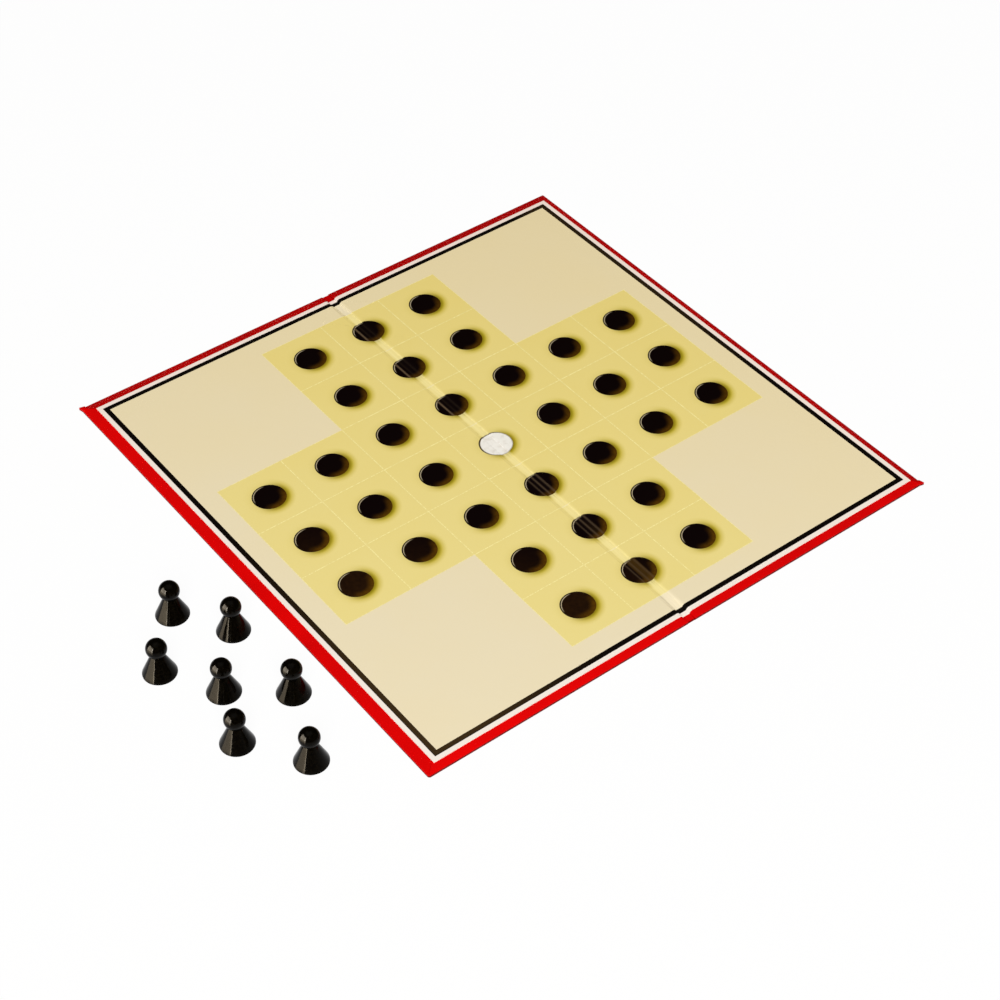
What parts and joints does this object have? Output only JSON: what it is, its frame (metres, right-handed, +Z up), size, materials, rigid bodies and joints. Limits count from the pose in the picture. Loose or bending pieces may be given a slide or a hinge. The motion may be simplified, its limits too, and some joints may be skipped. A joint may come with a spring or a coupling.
{
  "type": "peg solitaire board",
  "caption": "Flat square board for solitaire that folds in half on a pressed groove, printed with a cross of discs, with loose cone pawns.",
  "frame": {"origin": "middle of the fold on the underside of the open board, on the surface it lies on", "axes": "+X across the fold, away from the pawns; Y along the fold; +Z up out of the printed face"},
  "size_m": [0.3349, 0.2736, 0.0187],
  "materials": {
    "greyboard": "matt pressed grey board",
    "cover_paper": "satin coated red cover paper",
    "white_paper": "film-laminated white paper, glossy",
    "cream_ink": "printed cream under gloss film",
    "yellow_ink": "printed yellow under gloss film",
    "black_ink": "printed black under gloss film",
    "pawn_plastic": "polished black moulded plastic"
  },
  "bodies": {
    "left_leaf": {"left_panel": "greyboard", "left_cover": "cover_paper", "left_sheet": "white_paper", "left_field": "cream_ink", "left_squares": "yellow_ink", "left_spots": "black_ink", "left_frame_line": "black_ink"},
    "spine": {"spine_cover": "cover_paper", "spine_sheet": "white_paper", "spine_field": "cream_ink", "spine_squares": "yellow_ink", "spine_spots": "black_ink", "spine_frame_line": "black_ink"},
    "right_leaf": {"right_panel": "greyboard", "right_cover": "cover_paper", "right_sheet": "white_paper", "right_field": "cream_ink", "right_squares": "yellow_ink", "right_spots": "black_ink", "right_frame_line": "black_ink"},
    "pawn_1": {"pawn_1": "pawn_plastic"},
    "pawn_2": {"pawn_2": "pawn_plastic"},
    "pawn_3": {"pawn_3": "pawn_plastic"},
    "pawn_4": {"pawn_4": "pawn_plastic"},
    "pawn_5": {"pawn_5": "pawn_plastic"},
    "pawn_6": {"pawn_6": "pawn_plastic"},
    "pawn_7": {"pawn_7": "pawn_plastic"}
  },
  "joints": [
    {"name": "fold_spine", "type": "hinge", "parent": "left_leaf", "child": "spine", "pos_m": [-0.0019, 0, 0.0008], "axis": [0, -1, 0], "range_deg": [0, 90]},
    {"name": "fold_leaf", "type": "hinge", "parent": "spine", "child": "right_leaf", "pos_m": [0.0019, 0, 0.0008], "axis": [0, -1, 0], "range_deg": [0, 90]},
    {"name": "pawn_1_lift", "type": "slide", "parent": "left_leaf", "child": "pawn_1", "axis": [0, 0, 1], "range_m": [0, 0.05]},
    {"name": "pawn_2_lift", "type": "slide", "parent": "left_leaf", "child": "pawn_2", "axis": [0, 0, 1], "range_m": [0, 0.05]},
    {"name": "pawn_3_lift", "type": "slide", "parent": "left_leaf", "child": "pawn_3", "axis": [0, 0, 1], "range_m": [0, 0.05]},
    {"name": "pawn_4_lift", "type": "slide", "parent": "left_leaf", "child": "pawn_4", "axis": [0, 0, 1], "range_m": [0, 0.05]},
    {"name": "pawn_5_lift", "type": "slide", "parent": "left_leaf", "child": "pawn_5", "axis": [0, 0, 1], "range_m": [0, 0.05]},
    {"name": "pawn_6_lift", "type": "slide", "parent": "left_leaf", "child": "pawn_6", "axis": [0, 0, 1], "range_m": [0, 0.05]},
    {"name": "pawn_7_lift", "type": "slide", "parent": "left_leaf", "child": "pawn_7", "axis": [0, 0, 1], "range_m": [0, 0.05]}
  ]
}
